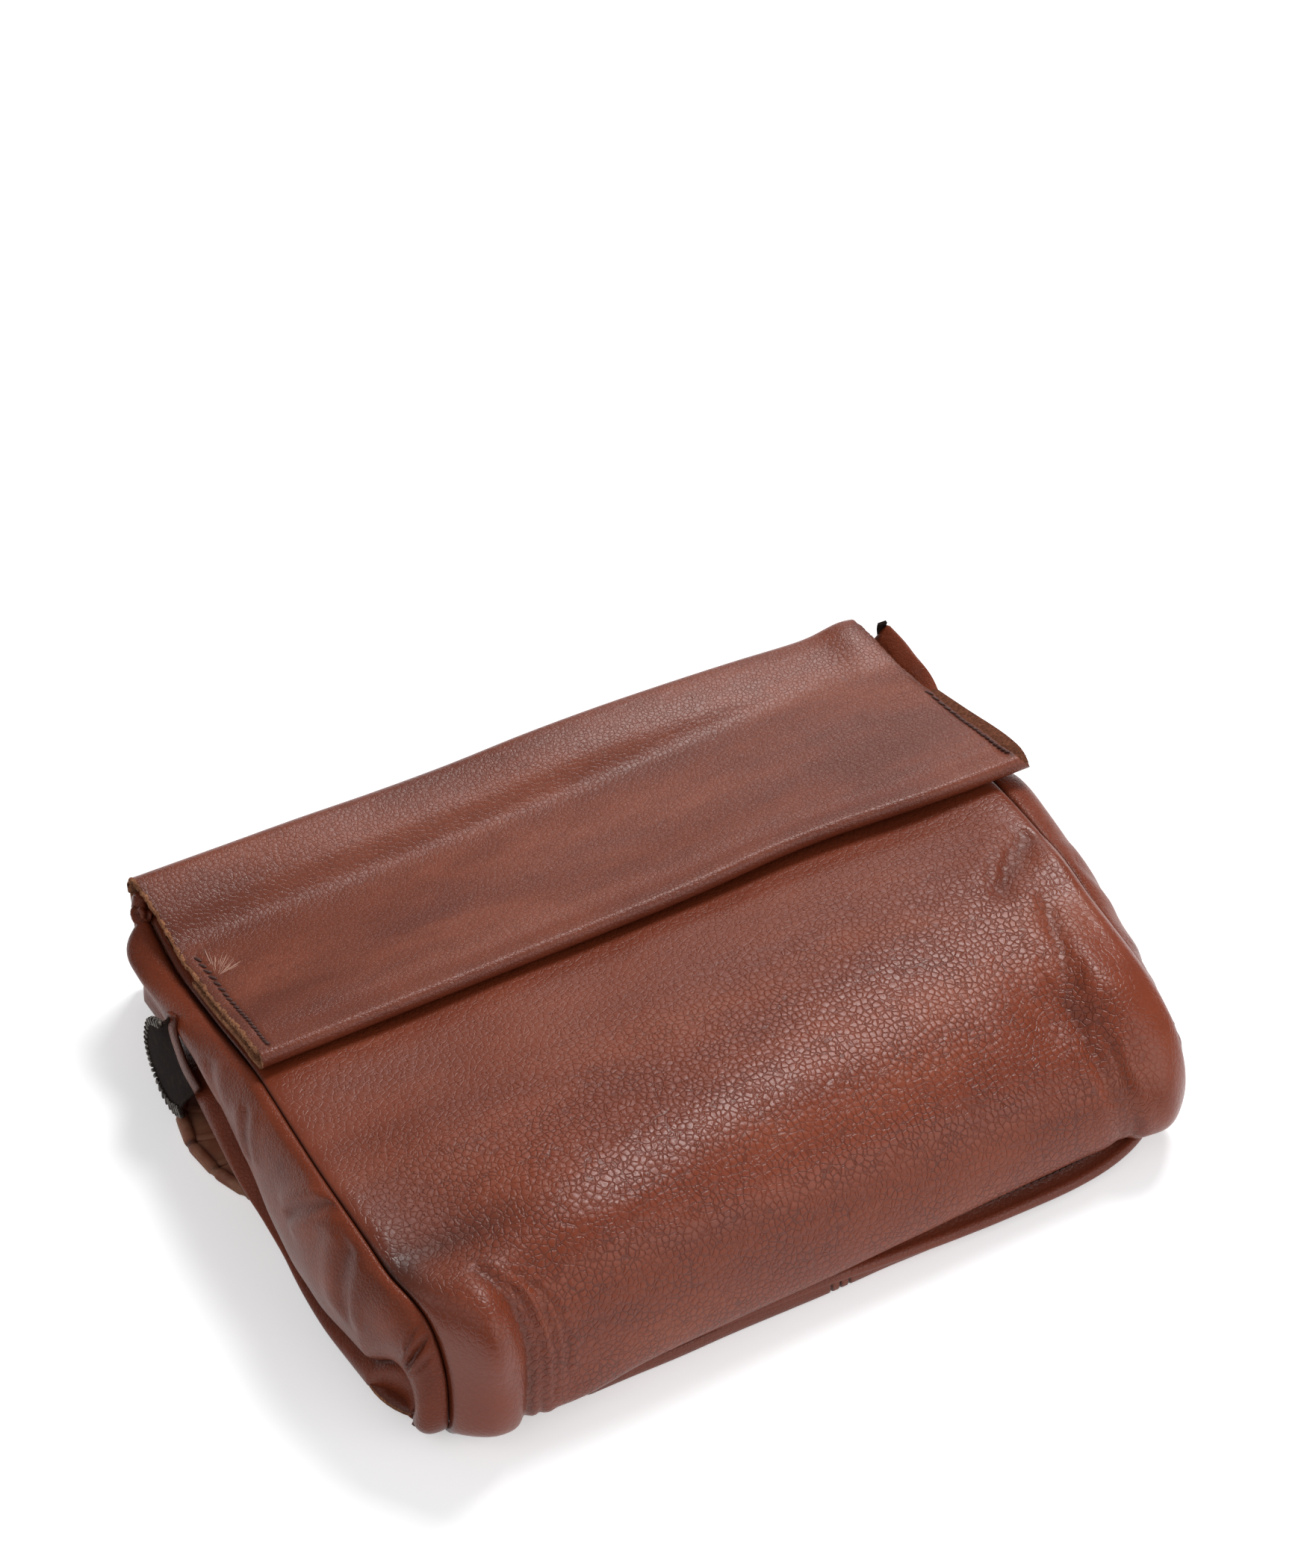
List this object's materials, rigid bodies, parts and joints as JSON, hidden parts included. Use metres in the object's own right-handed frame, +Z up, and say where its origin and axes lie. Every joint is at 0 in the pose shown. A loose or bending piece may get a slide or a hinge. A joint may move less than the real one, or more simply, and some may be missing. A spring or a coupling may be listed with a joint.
{
  "type": "leather flap bag",
  "caption": "Soft leather shoulder bag lying on its back: puffed front panel, side gussets, a flap that folds open over a zipped mouth, a rolled bottom edge and a braided strap tucked beneath",
  "frame": {"origin": "centre of the footprint on the floor that the bag lies on", "axes": "+X across the bag, +Y from its bottom to the fold of its flap, +Z up from the back panel to the front"},
  "size_m": [0.3214, 0.2434, 0.071],
  "materials": {
    "pebbled_leather": "milled grain, soft gloss",
    "smooth_leather": "waxed, burnished along edges",
    "braided_leather": "rolled strands, worn tan on top",
    "zip_tape": "woven twill tape",
    "dark_zip_metal": "dark plated"
  },
  "bodies": {
    "bag_body": {"front_panel": "pebbled_leather", "back_panel": "smooth_leather", "gusset_left": "smooth_leather", "gusset_right": "smooth_leather", "base_roll_left": "smooth_leather", "base_roll_right": "smooth_leather", "bottom_welt": "smooth_leather", "mouth_hem": "smooth_leather", "zip_tape_front": "zip_tape", "zip_tape_back": "zip_tape", "zip_teeth_front": "dark_zip_metal", "zip_teeth_back": "dark_zip_metal", "zip_bottom_stop": "dark_zip_metal", "zip_top_stop_front": "dark_zip_metal", "zip_top_stop_back": "dark_zip_metal", "zip_tail_left": "zip_tape", "zip_tail_teeth": "dark_zip_metal", "zip_facing_left": "smooth_leather", "zip_tail_right": "zip_tape", "strap": "braided_leather", "strap_tab_left": "smooth_leather", "strap_tab_right": "smooth_leather"},
    "flap_spine": {"flap_spine": "smooth_leather"},
    "flap_cover": {"flap_cover": "smooth_leather", "flap_hem": "smooth_leather"},
    "zip_slider": {"zip_slider": "dark_zip_metal"},
    "zip_pull": {"zip_pull": "dark_zip_metal"}
  },
  "joints": [
    {"name": "flap_spine_hinge", "type": "hinge", "parent": "bag_body", "child": "flap_spine", "pos_m": [0, 0.11935, 0.0052], "axis": [-1, 0, 0], "range_deg": [0, 90]},
    {"name": "flap_fold", "type": "hinge", "parent": "flap_spine", "child": "flap_cover", "pos_m": [0, 0.1213, 0.047], "axis": [-1, 0, 0], "range_deg": [0, 80]},
    {"name": "zip_slide", "type": "slide", "parent": "bag_body", "child": "zip_slider", "axis": [1, 0, 0], "range_m": [-0.224, 0]},
    {"name": "zip_pull_swing", "type": "hinge", "parent": "zip_slider", "child": "zip_pull", "pos_m": [0.112, 0.1154, 0.025], "axis": [0, 1, 0], "range_deg": [-40, 40]}
  ]
}
